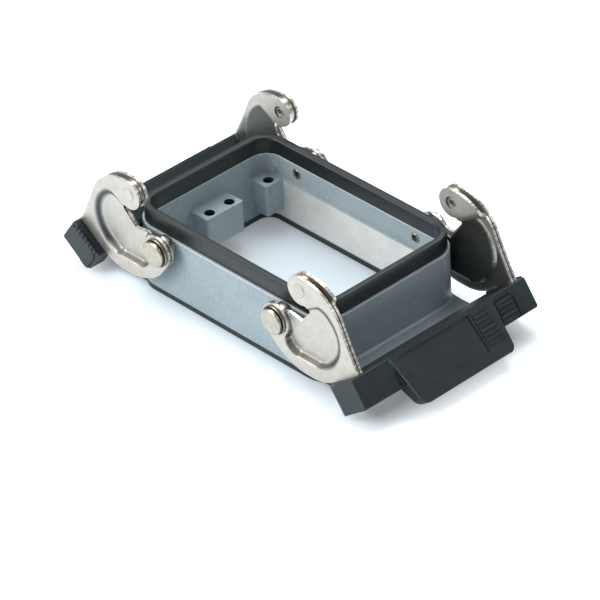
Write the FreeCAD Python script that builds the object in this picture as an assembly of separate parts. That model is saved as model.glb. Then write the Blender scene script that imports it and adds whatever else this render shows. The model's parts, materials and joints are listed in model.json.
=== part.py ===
# Bulkhead mounting housing of a heavy duty rectangular connector, with two locking levers.
# Millimetres. Z is up, X runs along the housing, the origin is at the centre of the sealing
# face on the panel. The levers are modelled swung open.

import FreeCAD, Part
import math
import os

V = FreeCAD.Vector
X_AXIS = V(1, 0, 0)
Y_AXIS = V(0, 1, 0)
Z_AXIS = V(0, 0, 1)
ORIGIN = V(0, 0, 0)

# Opening and wall
opening_length = 76.2
opening_width = 48.8
opening_corner = 5.5
wall = 3.2
sill = 1.2
sill_top = 15.5
wall_top = 22.2
tongue = 1.1
tongue_outer_step = 1.45
tongue_top = 26.0

# Flange
flange_reach = 10.7
flange_spare_width = 3.2
flange_corner = 6.0
flange_thickness = 2.8
foot_fillet = 1.0
screw_edge_x = 4.2
screw_edge_y = 10.0
screw_hole = 4.3

# Gaskets
flange_gasket_thickness = 1.8
rim_gasket_top = 27.6
rim_gasket_inset = 0.65
rim_gasket_chamfer = 0.4
rim_gasket_overlap = 0.05
gasket_clearance = 0.02

# Bosses for the contact inserts
insert_edge_x = 5.1
insert_edge_y = 4.4
insert_inner_pitch_y = 8.0
insert_thread_bore = 3.3
boss_height = 10.5
boss_margin_x = 2.7
boss_margin_y = 3.3
boss_round = 0.8

# Pivots
pivot_edge_x = 13.1
pivot_z = 19.0
shank_radius = 2.5
tail_radius = 1.3
tail_rivet_radius = 1.7
tail_rivet_height = 0.35
tail_hollow_radius = 0.95
tail_hollow_depth = 0.9
head_radius = 4.1
head_height = 1.3
head_chamfer = 0.3
washer_radius = 4.6
washer_thickness = 0.7
spacer_radius = 3.8
axial_play = 0.05
running_clearance = 0.05

# Lever arms, in a frame with its origin at the pivot
sheet = 1.0
arm_gap = 4.5
nose_u = 11.0
nose_w = 15.1
nose_radius = 4.7
lobe_radius = 5.2
catch_u = 10.1
catch_w = 3.7
nose_gap = 1.6
dish_upper_depth = 0.6
dish_lower_depth = 2.2
dish_upper_w = 10.0
dish_lower_w = -8.6
dish_clearance = 0.3
press_wall = 0.75
mouth_relief = 1.4

# Nose rollers and their rivets
roller_radius = 4.3
roller_chamfer = 0.3
rivet_radius = 1.5
rivet_head_radius = 2.3
rivet_head_height = 0.35
rivet_chamfer = 0.25
rivet_end_height = 0.25
rivet_seat_radius = 2.0
rivet_seat_depth = 0.5

# Handle, placed from the pivot and tilted
handle_u = 32.88
handle_w = -9.86
handle_tilt = 36.0
handle_thickness = 10.0
handle_height = 9.8
handle_end_wall = 2.75
handle_round = 0.8
root_depth = 3.4
root_cover = 2.8
root_chamfer = 1.9
root_end_round = 3.0
tang_inset = 1.7
tang_depth = 7.0
slot_clearance = 0.05
paddle_half_top = 20.7
paddle_half_bottom = 18.2
paddle_length = 16.6
paddle_flare = 3.6
paddle_lip = 3.2
paddle_round = 2.6
panel_sink = 0.45
panel_end_inset = 10.2
panel_border = 2.0
rib_count = 8
rib_pitch = 1.45
rib_width = 0.75
rib_height = 0.35
rib_first = 1.3
recess_depth = 0.4
recess_end_inset = 6.55
recess_top = 1.6
recess_round = 2.2
end_rib_count = 7
end_rib_pitch = 1.5
end_rib_width = 0.75
end_rib_first = -6.1
end_rib_wrap = 0.9
end_pad_rise = 0.35
end_pad_drop = 1.3
end_pad_round = 2.5
pocket_depth = 6.2
pocket_wall = 1.8
pocket_count = 3

# Sizes that follow from the ones above
half_outer_x = opening_length / 2 + wall
half_outer_y = opening_width / 2 + wall
outer_corner = opening_corner + wall
flange_length = 2 * (half_outer_x + flange_reach)
flange_width = opening_width + flange_spare_width
flange_top = flange_gasket_thickness + flange_thickness
screw_pitch_x = flange_length - 2 * screw_edge_x
screw_pitch_y = flange_width - 2 * screw_edge_y
insert_pitch_x = opening_length - 2 * insert_edge_x
insert_outer_pitch_y = opening_width - 2 * insert_edge_y
pivot_x = opening_length / 2 - pivot_edge_x
arm_outer_face = half_outer_y + arm_gap
arm_inner_face = arm_outer_face - 2 * sheet
nose_inner_face = arm_outer_face - 2 * sheet - nose_gap
lobe_flat = spacer_radius + dish_clearance + 2 * press_wall
handle_half_length = arm_outer_face + handle_end_wall
root_inner_y = arm_outer_face - root_cover
panel_end_y = paddle_half_top - panel_end_inset
recess_end_y = handle_half_length - recess_end_inset


def rounded_box(length, width, z0, z1, radius):
    """Upright block centred on the Z axis, with its four vertical edges rounded."""
    block = Part.makeBox(length, width, z1 - z0, V(-length / 2, -width / 2, z0))
    upright = [e for e in block.Edges if abs(e.tangentAt(e.FirstParameter).z) > 0.99]
    return block.makeFillet(radius, upright)


def tube_y(radius, y0, y1, u, w):
    """Round bar along Y between two distances from the middle."""
    return Part.makeCylinder(radius, y1 - y0, V(u, y0, w), Y_AXIS)


def ring_y(outer, inner, y0, y1, u, w):
    return tube_y(outer, y0, y1, u, w).cut(tube_y(inner, y0 - 1, y1 + 1, u, w))


def drafted_box(length, width, z0, z1, radius, draft):
    """Like rounded_box, but shorter by draft at each end of its bottom than at its top."""
    ends = []
    for z, half in ((z0, length / 2 - draft), (z1, length / 2)):
        slab = rounded_box(2 * half, width, z, z + 1, radius)
        bottom = min(slab.Faces, key=lambda f: f.CenterOfMass.z)
        ends.append(bottom.OuterWire)
    return Part.makeLoft(ends, True)


def four_ways(x, y):
    return [(sx * x, sy * y) for sx in (1, -1) for sy in (1, -1)]


def edges_at(shape, test):
    return [e for e in shape.Edges if test(e)]


def save(name, shape):
    shape.exportStep("parts/" + name + ".step")


# Housing


def flange_and_body(z0, z1, grow=0.0):
    """Footprint of flange and body together, as a slab."""
    flange = rounded_box(flange_length + 2 * grow, flange_width + 2 * grow, z0, z1, flange_corner)
    body = rounded_box(2 * half_outer_x, 2 * half_outer_y, z0, z1, outer_corner)
    return flange.fuse(body)


def boss(half_width):
    """Block for insert screws on the right end wall, centred on y = 0."""
    inner_x = insert_pitch_x / 2 - boss_margin_x
    block = Part.makeBox(
        half_outer_x - inner_x - 1,
        2 * half_width,
        boss_height,
        V(inner_x, -half_width, sill_top - boss_height),
    )
    front = edges_at(
        block,
        lambda e: abs(e.tangentAt(e.FirstParameter).z) > 0.99 and e.CenterOfMass.x < inner_x + 0.1,
    )
    return block.makeFillet(boss_round, front)


def make_bosses():
    """Middle boss with two screw places and a corner boss on each side of it."""
    middle = boss(insert_inner_pitch_y / 2 + boss_margin_y)
    corner_y = insert_outer_pitch_y / 2
    corner_width = half_outer_y - wall / 2 - corner_y + boss_margin_y
    solids = [middle]
    for side in (1, -1):
        solid = boss(corner_width / 2)
        solid.translate(V(0, side * (corner_y - boss_margin_y + corner_width / 2), 0))
        solids.append(solid)
    right = solids[0].fuse(solids[1:])
    left = right.copy()
    left.rotate(ORIGIN, Z_AXIS, 180)
    return right.fuse(left)


def make_housing():
    base = flange_gasket_thickness
    flange = rounded_box(flange_length, flange_width, base, flange_top, flange_corner)
    body = rounded_box(2 * half_outer_x, 2 * half_outer_y, base, wall_top, outer_corner)
    shell = flange.fuse(body)
    foot = edges_at(
        shell,
        lambda e: abs(e.CenterOfMass.z - flange_top) < 1e-6
        and abs(e.CenterOfMass.x) > half_outer_x - outer_corner
        and abs(e.CenterOfMass.x) < half_outer_x + 0.01
        and abs(e.CenterOfMass.y) < flange_width / 2 - 0.1,
    )
    shell = shell.makeFillet(foot_fillet, foot)
    inset = tongue_outer_step
    rim = rounded_box(
        2 * (half_outer_x - inset), 2 * (half_outer_y - inset), wall_top - 1, tongue_top, outer_corner - inset
    )
    shell = shell.fuse(rim)
    upper = rounded_box(opening_length, opening_width, sill_top, wall_top, opening_corner)
    inset = tongue_outer_step + tongue
    mouth = rounded_box(
        2 * (half_outer_x - inset), 2 * (half_outer_y - inset), wall_top, tongue_top + 1, outer_corner - inset
    )
    lower = drafted_box(
        opening_length, opening_width - 2 * sill, base, sill_top, opening_corner - sill, sill
    )
    shell = shell.cut(lower).cut(upper).cut(mouth)
    room = rounded_box(opening_length, opening_width, 0, sill_top, opening_corner)
    shell = shell.fuse(make_bosses().common(room)).removeSplitter()
    for y in (insert_inner_pitch_y / 2, insert_outer_pitch_y / 2):
        for hole_x, hole_y in four_ways(insert_pitch_x / 2, y):
            shell = shell.cut(Part.makeCylinder(insert_thread_bore / 2, sill_top + 2, V(hole_x, hole_y, -1)))
    for hole_x, hole_y in four_ways(screw_pitch_x / 2, screw_pitch_y / 2):
        shell = shell.cut(Part.makeCylinder(screw_hole / 2, flange_top + 2, V(hole_x, hole_y, -1)))
    for stud_x in (pivot_x, -pivot_x):
        shell = shell.cut(tube_y(tail_radius, -half_outer_y - 1, half_outer_y + 1, stud_x, pivot_z))
    return shell


# Gaskets


def make_flange_gasket():
    slab = flange_and_body(0, flange_gasket_thickness)
    window = rounded_box(
        opening_length - 2 * sill, opening_width - 2 * sill, -1, flange_gasket_thickness + 1, opening_corner - sill
    )
    slab = slab.cut(window)
    for hole_x, hole_y in four_ways(screw_pitch_x / 2, screw_pitch_y / 2):
        slab = slab.cut(Part.makeCylinder(screw_hole / 2, flange_gasket_thickness + 2, V(hole_x, hole_y, -1)))
    return slab


def make_rim_gasket():
    """Frame with a groove in its underside that sits over the tongue of the wall."""
    inset = rim_gasket_inset
    frame = rounded_box(
        2 * (half_outer_x - inset), 2 * (half_outer_y - inset), wall_top, rim_gasket_top, outer_corner - inset
    )
    lip = 2 * rim_gasket_overlap
    frame = frame.cut(
        rounded_box(opening_length - lip, opening_width - lip, 0, rim_gasket_top + 1, opening_corner)
    )
    top = edges_at(frame, lambda e: abs(e.CenterOfMass.z - rim_gasket_top) < 1e-6)
    frame = frame.makeChamfer(rim_gasket_chamfer, top)
    outer = tongue_outer_step - gasket_clearance
    inner = tongue_outer_step + tongue + gasket_clearance
    groove = rounded_box(
        2 * (half_outer_x - outer), 2 * (half_outer_y - outer), 0, tongue_top + gasket_clearance, outer_corner - outer
    )
    core = rounded_box(
        2 * (half_outer_x - inner), 2 * (half_outer_y - inner), -1, tongue_top + 1, outer_corner - inner
    )
    return frame.cut(groove.cut(core))


# Pivot hardware, on the rear side at +Y


def make_stud():
    """Turned stud: head, shank, and a tail that is riveted over inside the wall."""
    under_head = arm_outer_face + 2 * axial_play + washer_thickness
    face = under_head + head_height
    inside = opening_width / 2
    profile = [
        (0, inside - tail_rivet_height + tail_hollow_depth),
        (tail_hollow_radius * 0.8, inside - tail_rivet_height + tail_hollow_depth * 0.9),
        (tail_hollow_radius, inside - tail_rivet_height),
        (tail_rivet_radius - 0.2, inside - tail_rivet_height),
        (tail_rivet_radius, inside - tail_rivet_height + 0.2),
        (tail_rivet_radius, inside),
        (tail_radius, inside),
        (tail_radius, half_outer_y),
        (shank_radius, half_outer_y),
        (shank_radius, under_head),
        (head_radius, under_head),
        (head_radius, face - head_chamfer),
        (head_radius - head_chamfer, face),
        (0, face),
    ]
    points = [V(radius, y, 0) for radius, y in profile]
    wire = Part.makePolygon(points + points[:1])
    stud = Part.Face(wire).revolve(ORIGIN, Y_AXIS, 360)
    stud.translate(V(pivot_x, 0, pivot_z))
    return Part.Solid(stud.Shells[0]) if stud.ShapeType != "Solid" else stud


def make_washer():
    inner = arm_outer_face + axial_play
    bore = shank_radius + running_clearance
    return ring_y(washer_radius, bore, inner, inner + washer_thickness, pivot_x, pivot_z)


def make_spacer():
    bore = shank_radius + running_clearance
    return ring_y(spacer_radius, bore, half_outer_y, arm_inner_face - axial_play, pivot_x, pivot_z)


# Lever arms, on the rear side at +Y. Points are (u, w) from the pivot, in the plane of the arm.


def polar(radius, degrees, u=0.0, w=0.0):
    angle = math.radians(degrees)
    return (u + radius * math.cos(angle), w + radius * math.sin(angle))


def from_nose(u, w):
    """Point measured from the centre of the nose roller."""
    return (nose_u + u, nose_w + w)


def spatial(point, y=0.0):
    return V(pivot_x + point[0], y, pivot_z + point[1])


def outline_wire(pieces):
    """Closed wire from lines (2 points) and arcs (3 points)."""
    edges = []
    for piece in pieces:
        points = [spatial(p) for p in piece]
        if len(points) == 2:
            edges.append(Part.LineSegment(points[0], points[1]).toShape())
        else:
            edges.append(Part.Arc(points[0], points[1], points[2]).toShape())
    return Part.Wire(edges)


def prism(wire, y0, y1):
    face = Part.Face(wire)
    face.translate(V(0, y0, 0))
    return face.extrude(V(0, y1 - y0, 0))


def handle_point(across, down, y=0.0):
    """Point in the handle's tilted frame, measured from its centre."""
    tilt = math.radians(handle_tilt)
    u = handle_u + across * math.cos(tilt) + down * math.sin(tilt)
    w = handle_w + across * math.sin(tilt) - down * math.cos(tilt)
    return (u, w)


def arm_outline():
    """Edge of the stamped arm: nose, throat, lobe round the pivot, body, tang."""
    top = -handle_height / 2
    half = handle_thickness / 2
    nose_top = polar(nose_radius, 75, nose_u, nose_w)
    nose_end = polar(nose_radius, 290, nose_u, nose_w)
    throat = from_nose(2.4, -7.2)
    catch = (catch_u, catch_w)
    lobe_top = polar(lobe_radius, 85)
    lobe_end = polar(lobe_radius, 216)
    belly_start = (-1.0, -7.4)
    belly_low = (13.5, -13.1)
    heel = handle_point(-half - root_depth, top)
    shoulder = handle_point(half - 0.4, top)
    back = from_nose(15.5, -3.6)
    tang = [
        handle_point(-half + tang_inset, top),
        handle_point(-half + tang_inset, top + tang_depth),
        handle_point(half - tang_inset, top + tang_depth),
        handle_point(half - tang_inset, top),
    ]
    return outline_wire([
        (nose_top, polar(nose_radius, 180, nose_u, nose_w), nose_end),
        (nose_end, from_nose(3.3, -5.4), throat),
        (throat, catch),
        (catch, lobe_top),
        (lobe_top, polar(lobe_radius, 150), lobe_end),
        (lobe_end, belly_start),
        (belly_start, (5.4, -11.6), belly_low),
        (belly_low, (19.3, -12.5), heel),
        (heel, tang[0]),
        (tang[0], tang[1]),
        (tang[1], tang[2]),
        (tang[2], tang[3]),
        (tang[3], shoulder),
        (shoulder, from_nose(18.4, -10.0), back),
        (back, from_nose(9.9, 2.3), nose_top),
    ])


def dish_outline():
    """Edge of the pressed panel. It runs out through the mouth of the arm."""
    near_top = polar(lobe_flat, 62)
    near_low = polar(lobe_flat, -48)
    low_start = (8.6, dish_lower_w)
    low_end = (17.4, dish_lower_w)
    outer_low = (24.4, -4.9)
    outer_top = from_nose(10.4, -2.1)
    step_top = from_nose(7.8, -1.7)
    step_low = from_nose(2.6, -5.1)
    mouth_top = from_nose(1.4, -5.7)
    mouth_low = from_nose(-2.4, -7.7)
    return outline_wire([
        (near_top, polar(lobe_flat, 5), near_low),
        (near_low, (5.2, -7.2), low_start),
        (low_start, low_end),
        (low_end, (21.7, -7.5), outer_low),
        (outer_low, from_nose(16.1, -10.6), outer_top),
        (outer_top, step_top),
        (step_top, step_low),
        (step_low, mouth_top),
        (mouth_top, mouth_low),
        (mouth_low, near_top),
    ])


def neck_outline(drop=0.0):
    """Everything above the line where the nose and its neck leave the dished panel. In the mouth
    of the arm it turns away from the lobe round the pivot."""
    low = from_nose(-0.7, -7.16 - drop)
    high = from_nose(19.0, 5.5 - drop)
    mouth = from_nose(-7.0, -6.6 - drop)
    beyond = nose_w + 2 * nose_radius
    return outline_wire([
        (low, high),
        (high, (high[0], beyond)),
        ((high[0], beyond), (mouth[0], beyond)),
        ((mouth[0], beyond), mouth),
        (mouth, low),
    ])


def mouth_outline(drop):
    """The open mouth between nose and lobe, moved down into the lobe by drop."""
    nose_end = polar(nose_radius, 290, nose_u, nose_w - drop)
    throat = from_nose(2.4, -7.2 - drop)
    catch = (catch_u, catch_w - drop)
    lobe_top = polar(lobe_radius, 85, 0, -drop)
    beyond = (lobe_top[0] - lobe_radius, nose_end[1])
    return outline_wire([
        (nose_end, from_nose(3.3, -5.4 - drop), throat),
        (throat, catch),
        (catch, lobe_top),
        (lobe_top, beyond),
        (beyond, nose_end),
    ])


def grown(wire, distance):
    return wire.makeOffset2D(distance)


def floor_wedge(lift):
    """Solid on the outside of the tilted dish floor, moved inwards by lift."""
    slope = (dish_lower_depth - dish_upper_depth) / (dish_upper_w - dish_lower_w)

    def floor_y(w):
        return arm_outer_face - lift - dish_upper_depth - slope * (dish_upper_w - w)

    low = -30
    high = 40
    outside = arm_outer_face + 3
    corners = [
        V(-20, outside, pivot_z + low),
        V(-20, floor_y(low), pivot_z + low),
        V(-20, floor_y(high), pivot_z + high),
        V(-20, outside, pivot_z + high),
    ]
    return Part.Face(Part.makePolygon(corners + corners[:1])).extrude(V(120, 0, 0))


def drill_arm(plate):
    low = nose_inner_face - 1
    high = arm_outer_face + 1
    plate = plate.cut(tube_y(shank_radius + running_clearance, low, high, pivot_x, pivot_z))
    bore = rivet_radius + running_clearance
    return plate.cut(tube_y(bore, low, high, pivot_x + nose_u, pivot_z + nose_w))


def make_outer_plate():
    """Outer sheet of the arm, with its panel dished towards the housing."""
    face = arm_outer_face
    back = face - sheet
    whole = prism(arm_outline(), nose_inner_face - 5, face + 5)
    slab = prism(arm_outline(), back, face)
    pressed = prism(grown(dish_outline(), press_wall), nose_inner_face - 5, back + 0.2)
    pressed = pressed.common(floor_wedge(sheet)).common(whole)
    hollow = prism(dish_outline(), nose_inner_face - 5, face + 1).common(floor_wedge(0))
    return drill_arm(slab.fuse(pressed).cut(hollow)).removeSplitter()


def make_inner_plate():
    """Inner sheet: follows the dish, and steps inwards at nose and neck to leave room for the roller."""
    face = arm_outer_face - sheet
    back = face - sheet
    whole = prism(arm_outline(), nose_inner_face - 5, face + 5)
    slab = prism(arm_outline(), back, face)
    pressed = prism(grown(dish_outline(), 2 * press_wall), nose_inner_face - 5, back + 0.2)
    pressed = pressed.common(floor_wedge(2 * sheet)).common(whole)
    neck = prism(neck_outline(press_wall), nose_inner_face, back + 0.2).common(whole)
    dish_hollow = prism(grown(dish_outline(), press_wall), nose_inner_face - 5, face + 1)
    dish_hollow = dish_hollow.common(floor_wedge(sheet))
    neck_hollow = prism(neck_outline(), nose_inner_face + sheet, face + 1)
    relief = prism(mouth_outline(mouth_relief), nose_inner_face - 5, face + 1)
    plate = slab.fuse([pressed, neck]).cut(dish_hollow).cut(neck_hollow).cut(relief)
    seat_u = pivot_x + nose_u
    seat_w = pivot_z + nose_w
    plate = plate.cut(tube_y(rivet_seat_radius, nose_inner_face - 1, nose_inner_face + rivet_seat_depth,
                             seat_u, seat_w))
    return drill_arm(plate).removeSplitter()


def make_roller():
    low = nose_inner_face + sheet + axial_play
    high = arm_outer_face - sheet - axial_play
    u = pivot_x + nose_u
    w = pivot_z + nose_w
    roller = tube_y(roller_radius, low, high, u, w)
    roller = roller.makeChamfer(roller_chamfer, edges_at(roller, lambda e: e.Closed))
    return roller.cut(tube_y(rivet_radius + running_clearance, low - 1, high + 1, u, w))


def make_roller_rivet():
    u = pivot_x + nose_u
    w = pivot_z + nose_w
    seat = nose_inner_face + rivet_seat_depth
    head = tube_y(rivet_head_radius, arm_outer_face, arm_outer_face + rivet_head_height, u, w)
    far_edge = edges_at(head, lambda e: e.Closed and e.CenterOfMass.y > arm_outer_face + rivet_chamfer / 2)
    head = head.makeChamfer(rivet_chamfer, far_edge)
    shank = tube_y(rivet_radius, seat - rivet_end_height / 2, arm_outer_face + rivet_head_height / 2, u, w)
    end = tube_y(rivet_seat_radius - running_clearance, seat - rivet_end_height, seat, u, w)
    return shank.fuse([head, end]).removeSplitter()


# Handle


def handle_vector(across, down, y):
    return spatial(handle_point(across, down), y)


def handle_block(across0, across1, down0, down1, y0, y1):
    """Block aligned with the handle's tilted frame."""
    corners = [
        handle_vector(across0, down0, y0),
        handle_vector(across1, down0, y0),
        handle_vector(across1, down1, y0),
        handle_vector(across0, down1, y0),
    ]
    face = Part.Face(Part.makePolygon(corners + corners[:1]))
    return face.extrude(V(0, y1 - y0, 0))


def paddle_face_frame():
    """Origin and directions of the flared paddle face: down along it, and out of it."""
    half = handle_thickness / 2
    top = -handle_height / 2
    start = handle_vector(half, top, 0)
    end = handle_vector(half + paddle_flare, top + paddle_length, 0)
    down = end.sub(start)
    down.normalize()
    out = Y_AXIS.cross(down)
    out.normalize()
    if out.dot(X_AXIS) < 0:
        out = out.multiply(-1)
    return start, down, out


def paddle_block(down0, down1, out0, out1, y0, y1):
    """Block aligned with the flared face of the paddle."""
    start, down, out = paddle_face_frame()

    def corner(along, off):
        return start.add(V(down).multiply(along)).add(V(out).multiply(off)).add(V(0, y0, 0))

    corners = [corner(down0, out0), corner(down0, out1), corner(down1, out1), corner(down1, out0)]
    face = Part.Face(Part.makePolygon(corners + corners[:1]))
    return face.extrude(V(0, y1 - y0, 0))


def make_paddle():
    """Flared thumb paddle: its section is swept across, then cut to its tapered outline."""
    half = handle_thickness / 2
    top = -handle_height / 2
    section = [
        handle_vector(half - 2.5, top + 0.4, 0),
        handle_vector(half, top, 0),
        handle_vector(half + paddle_flare, top + paddle_length, 0),
        handle_vector(half + paddle_flare - paddle_lip, top + paddle_length, 0),
        handle_vector(half - 3.4, handle_height / 2 - 0.4, 0),
        handle_vector(half - 3.4, 0, 0),
    ]
    face = Part.Face(Part.makePolygon(section + section[:1]))
    face.translate(V(0, -paddle_half_top, 0))
    solid = face.extrude(V(0, 2 * paddle_half_top, 0))
    cutters = []
    for side in (1, -1):
        start, down, out = paddle_face_frame()
        top_edge = V(0, side * paddle_half_top, 0)
        low_edge = V(0, side * paddle_half_bottom, 0)
        far_edge = V(0, side * (paddle_half_top + 5), 0)
        base = start.add(V(out).multiply(-12))
        reach = paddle_length * 1.1
        corners = [
            base.add(V(down).multiply(-1)).add(top_edge),
            base.add(V(down).multiply(reach)).add(low_edge),
            base.add(V(down).multiply(reach)).add(far_edge),
            base.add(V(down).multiply(-1)).add(far_edge),
        ]
        cutters.append(Part.Face(Part.makePolygon(corners + corners[:1])).extrude(V(out).multiply(16)))
    return solid.cut(cutters)


def is_paddle_corner(edge):
    """Edges through the thickness of the paddle at its two lower corners."""
    start, down, out = paddle_face_frame()
    middle = edge.CenterOfMass
    along = middle.sub(start).dot(down)
    direction = edge.tangentAt(edge.FirstParameter)
    return along > paddle_length * 0.9 and abs(direction.y) < 0.6 and abs(middle.y) > paddle_half_bottom - 2


def make_grip_recess():
    """Shallow recess beside the paddle, with a rounded outer corner, that the bar's ribs stand in."""
    half = handle_thickness / 2
    top = -handle_height / 2
    recess = handle_block(half - recess_depth, half + 2, top + recess_top, handle_height / 2 + 1,
                          paddle_half_bottom, recess_end_y)
    corner = edges_at(recess, lambda e: abs(e.tangentAt(e.FirstParameter).y) < 0.1
                      and abs(e.CenterOfMass.y - recess_end_y) < 0.01
                      and e.CenterOfMass.z > pivot_z + handle_w + handle_height / 4)
    long_enough = [e for e in corner if e.Length > 1.5 and abs(e.Length - recess_depth - 2) < 0.01]
    return recess.makeFillet(recess_round, long_enough)


def make_paddle_ribs():
    """Grip ribs on the paddle, running along the handle."""
    ribs = []
    for index in range(rib_count):
        down = rib_first + index * rib_pitch
        ribs.append(paddle_block(down, down + rib_width, -rib_height, rib_height,
                                 panel_end_y + rib_width, paddle_half_bottom - rib_width))
    return ribs


def make_bar_ribs():
    """Grip ribs in the recess of the bar."""
    half = handle_thickness / 2
    floor = half - recess_depth
    ribs = []
    down = -handle_height / 2 + recess_top + rib_pitch / 2
    while down + rib_width < handle_height / 2 - handle_round:
        ribs.append(handle_block(floor - rib_height, floor + rib_height, down, down + rib_width,
                                 paddle_half_top + rib_width, recess_end_y - rib_width))
        down += rib_pitch
    return ribs


def make_end_pad():
    """Raised pad on the ribbed end, with one corner well rounded."""
    half = handle_thickness / 2
    down0 = -handle_height / 2 + end_pad_drop
    down1 = handle_height / 2 - handle_round
    end = handle_half_length
    pad = handle_block(-half - root_depth + 1.0, half - handle_round, down0, down1, end - 1, end + end_pad_rise)
    corner = handle_vector(-half - root_depth + 1.0, down0, end)
    near = edges_at(pad, lambda e: abs(e.tangentAt(e.FirstParameter).y) > 0.99
                    and V(e.CenterOfMass.x - corner.x, 0, e.CenterOfMass.z - corner.z).Length < 0.1)
    return pad.makeFillet(end_pad_round, near)


def make_end_ribs():
    """Short ribs between the pad and the top of the ribbed end."""
    top = -handle_height / 2
    ribs = []
    end = handle_half_length
    for index in range(end_rib_count):
        across = end_rib_first + index * end_rib_pitch
        ribs.append(handle_block(across - end_rib_width / 2, across + end_rib_width / 2,
                                 top - end_pad_rise, top + end_pad_drop, end - end_rib_wrap, end + end_pad_rise))
    return ribs


def make_root(side):
    """Thicker end of the handle that holds the tangs; the plain end is well rounded."""
    half = handle_thickness / 2
    low = handle_height / 2
    section = [
        handle_vector(-half - root_depth, -low, 0),
        handle_vector(-half + 1, -low, 0),
        handle_vector(-half + 1, low, 0),
        handle_vector(-half - root_depth + root_chamfer, low, 0),
        handle_vector(-half - root_depth, low - root_chamfer, 0),
    ]
    face = Part.Face(Part.makePolygon(section + section[:1]))
    y0 = root_inner_y if side > 0 else -handle_half_length
    face.translate(V(0, y0, 0))
    root = face.extrude(V(0, handle_half_length - root_inner_y, 0))
    if side > 0:
        return root
    corner = handle_vector(-half - root_depth, -root_chamfer / 2, -handle_half_length)
    edge = edges_at(root, lambda e: abs(e.tangentAt(e.FirstParameter).y) < 0.01
                    and e.CenterOfMass.sub(corner).Length < 0.1)
    return root.makeFillet(root_end_round, edge)


def make_pockets():
    """Coring pockets in the inner face of the bar."""
    half = handle_thickness / 2
    inner = arm_inner_face - 2.2
    span = 2 * inner / pocket_count
    pockets = []
    for index in range(pocket_count):
        y0 = -inner + index * span + pocket_wall / 2
        pockets.append(handle_block(-half - 1, -half + pocket_depth,
                                    -handle_height / 2 + pocket_wall, handle_height / 2 - pocket_wall,
                                    y0, y0 + span - pocket_wall))
    return pockets


def make_slots():
    """Slots for the tangs of the four plates."""
    half = handle_thickness / 2
    top = -handle_height / 2
    slots = []
    for side in (1, -1):
        y0 = arm_inner_face - slot_clearance
        y1 = arm_outer_face + slot_clearance
        low = min(side * y0, side * y1)
        slots.append(handle_block(-half + tang_inset - slot_clearance, half - tang_inset + slot_clearance,
                                  top - 1, top + tang_depth + slot_clearance, low, low + y1 - y0))
    return slots


def make_handle():
    half = handle_thickness / 2
    end = handle_half_length
    bar = handle_block(-half, half, -handle_height / 2, handle_height / 2, -end, end)
    bar = bar.makeFillet(handle_round, edges_at(bar, lambda e: abs(e.CenterOfMass.y) < 1))
    bar = bar.makeFillet(handle_round * 0.6, edges_at(
        bar, lambda e: abs(e.CenterOfMass.y) > end - 0.01 and e.Length > 3))
    paddle = make_paddle()
    paddle = paddle.makeFillet(paddle_round, edges_at(paddle, is_paddle_corner))
    solid = bar.fuse([paddle, make_root(1), make_root(-1)])
    panel = paddle_block(panel_border * 0.6, paddle_length - paddle_lip, -panel_sink, 3,
                         -paddle_half_bottom + panel_border * 0.5, panel_end_y)
    recess = make_grip_recess().cut(paddle)
    solid = solid.cut([panel, recess] + make_pockets() + make_slots())
    ribs = make_paddle_ribs() + make_bar_ribs() + make_end_ribs()
    return solid.fuse(ribs + [make_end_pad()]).removeSplitter()


# Assembly


def to_front(shape):
    return shape.mirror(ORIGIN, Y_AXIS)


def to_left(shape):
    turned = shape.copy()
    turned.rotate(ORIGIN, Z_AXIS, 180)
    return turned


def main():
    os.makedirs("parts", exist_ok=True)
    save("housing", make_housing())
    save("rim_gasket", make_rim_gasket())
    save("flange_gasket", make_flange_gasket())
    save("right_handle", make_handle())
    save("left_handle", to_left(make_handle()))
    per_arm = {
        "pivot_stud": make_stud(),
        "pivot_washer": make_washer(),
        "pivot_spacer": make_spacer(),
        "outer_plate": make_outer_plate(),
        "inner_plate": make_inner_plate(),
        "nose_roller": make_roller(),
        "roller_rivet": make_roller_rivet(),
    }
    for name, shape in per_arm.items():
        save("right_rear_" + name, shape)
        save("right_front_" + name, to_front(shape))
        save("left_front_" + name, to_left(shape))
        save("left_rear_" + name, to_left(to_front(shape)))


main()
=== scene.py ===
# %% [markdown]
# A panel housing for a heavy duty rectangular connector
#
# The object is a die-cast frame that is screwed to a panel. Contact inserts sit in its opening,
# and two levers swing over the mating hood and hold it down. The CAD model gives every size.
# This script dresses it: it makes smooth skins for the pieces whose edges and pressings matter
# to the eye, and a procedural finish for each material.

import json
import math

import bmesh
import bpy
import numpy as np
from mathutils import Matrix, Vector
from mathutils.geometry import delaunay_2d_cdt

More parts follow.
